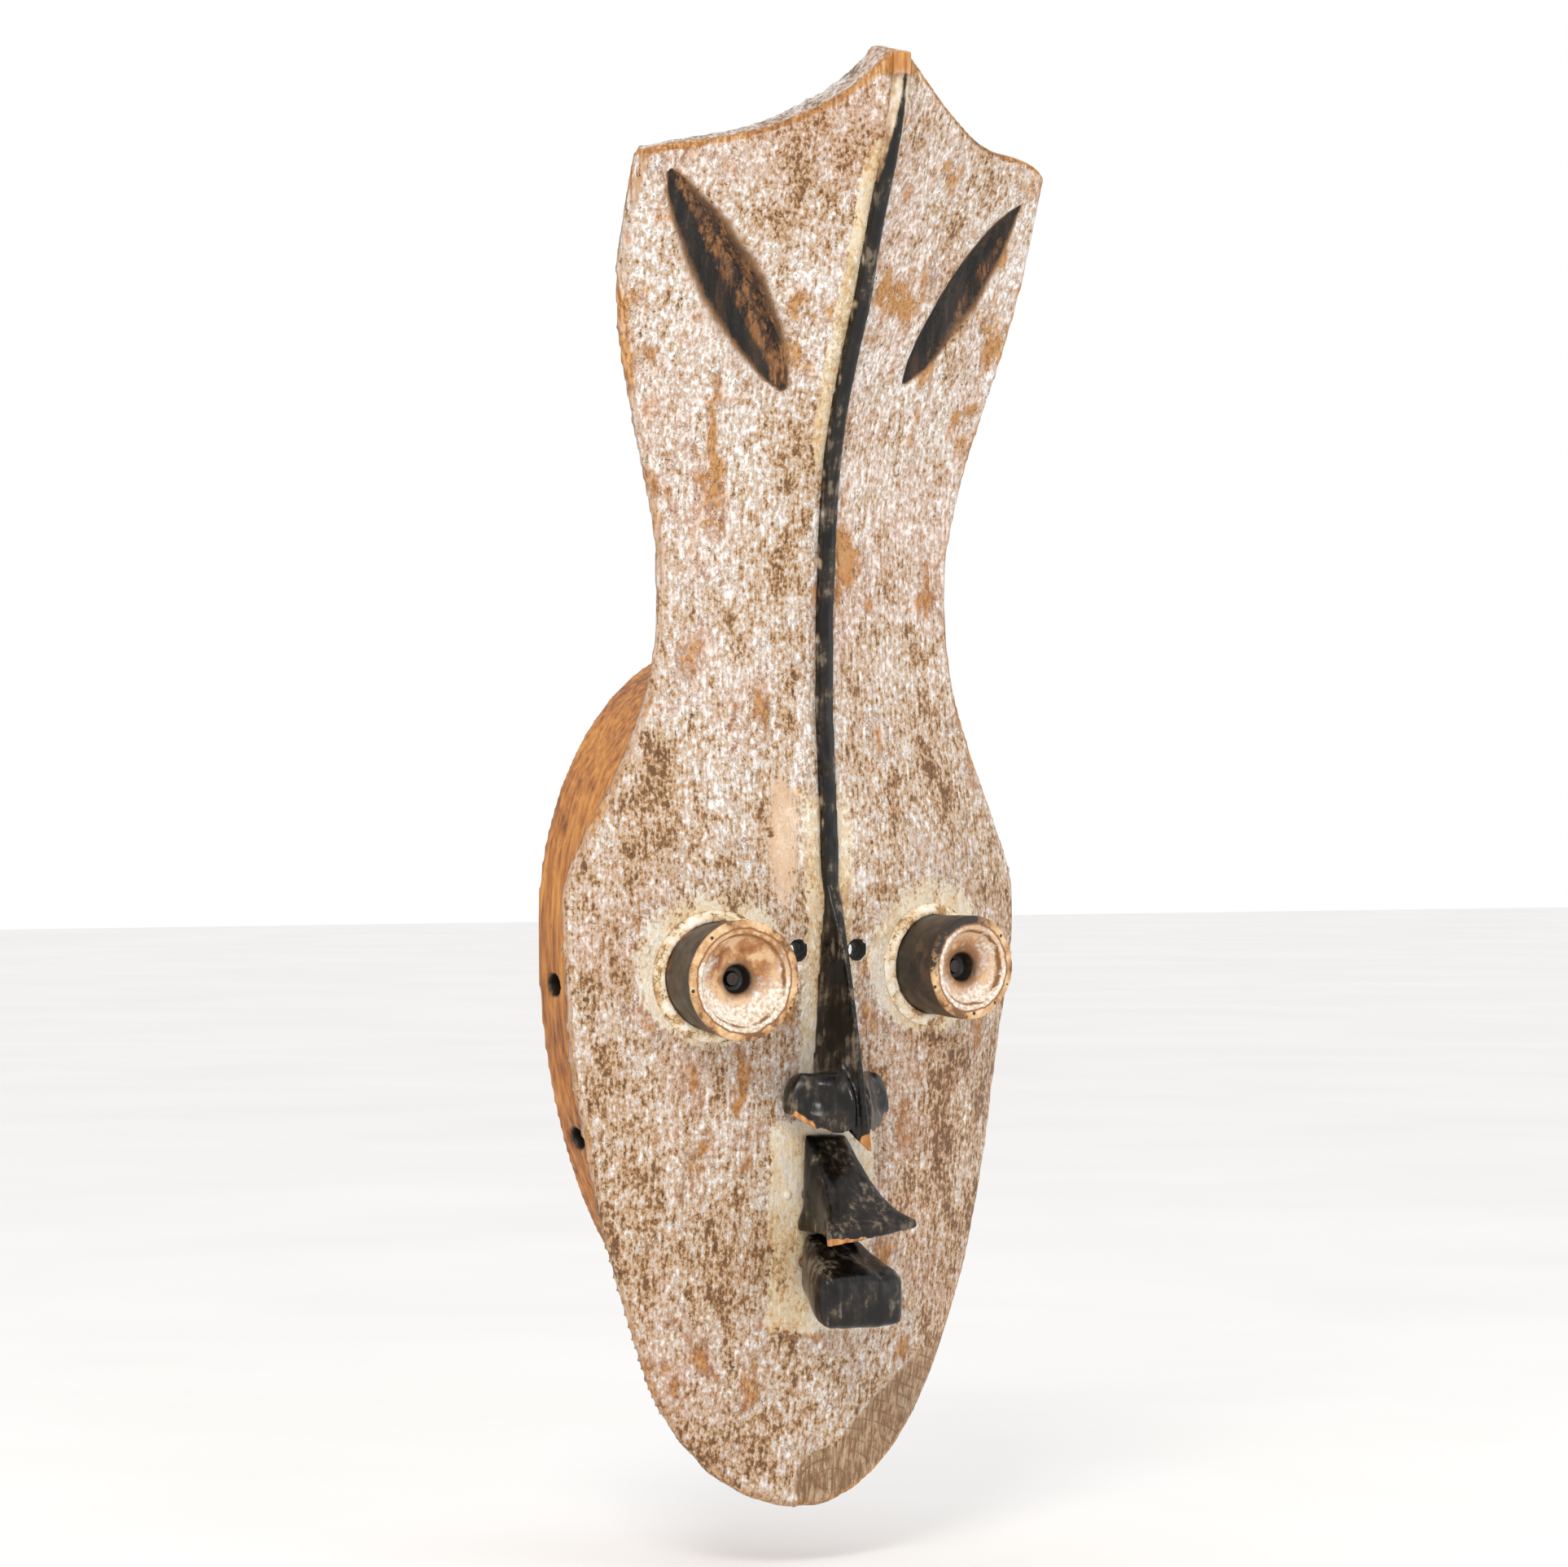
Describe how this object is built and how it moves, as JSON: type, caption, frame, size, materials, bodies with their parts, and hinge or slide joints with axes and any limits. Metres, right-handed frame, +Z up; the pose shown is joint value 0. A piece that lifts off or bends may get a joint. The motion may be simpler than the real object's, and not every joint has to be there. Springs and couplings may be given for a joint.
{
  "type": "board mask",
  "caption": "Tall carved wooden board mask with a peaked crest, black ridge and nose, tubular eyes, ledge lips and a pegged rear collar with a wall hanger.",
  "frame": {"origin": "on the wall plane, level with the hanger ring's axis and on the middle line", "axes": "+Z up, -Y the way the mask looks, +X to the viewer's right"},
  "size_m": [0.2632, 0.1673, 0.7094],
  "materials": {
    "painted_board": "worn white clay paint over carved wood",
    "black_wood": "blackened and rubbed to a low gloss",
    "eye_wood": "blackened sides, bare rim, whitened dish",
    "filler_paste": "dried clay and resin paste, cracked",
    "peg_wood": "whittled, unfinished",
    "bare_wood": "bare, hand worn",
    "hanger_steel": "zinc plated, dulled"
  },
  "bodies": {
    "mask": {"face_board": "painted_board", "crest_ridge": "black_wood", "nose": "black_wood", "upper_lip": "black_wood", "lower_lip": "black_wood", "left_eye_tube": "eye_wood", "right_eye_tube": "eye_wood", "left_eye_paste": "filler_paste", "right_eye_paste": "filler_paste", "eye_pegs": "peg_wood", "ridge_pegs": "peg_wood", "nose_pegs": "peg_wood", "lip_pegs": "peg_wood", "collar_top_arch": "bare_wood", "collar_left_side": "bare_wood", "collar_right_side": "bare_wood", "collar_bottom_arch": "bare_wood", "collar_pegs": "peg_wood", "hanger_strap": "hanger_steel", "hanger_screws": "hanger_steel"},
    "hanger_ring": {"hanger_ring": "hanger_steel"}
  },
  "joints": [
    {"name": "ring_swing", "type": "hinge", "parent": "mask", "child": "hanger_ring", "pos_m": [0, -0.0037, 0], "axis": [1, 0, 0], "range_deg": [0, 175]}
  ]
}
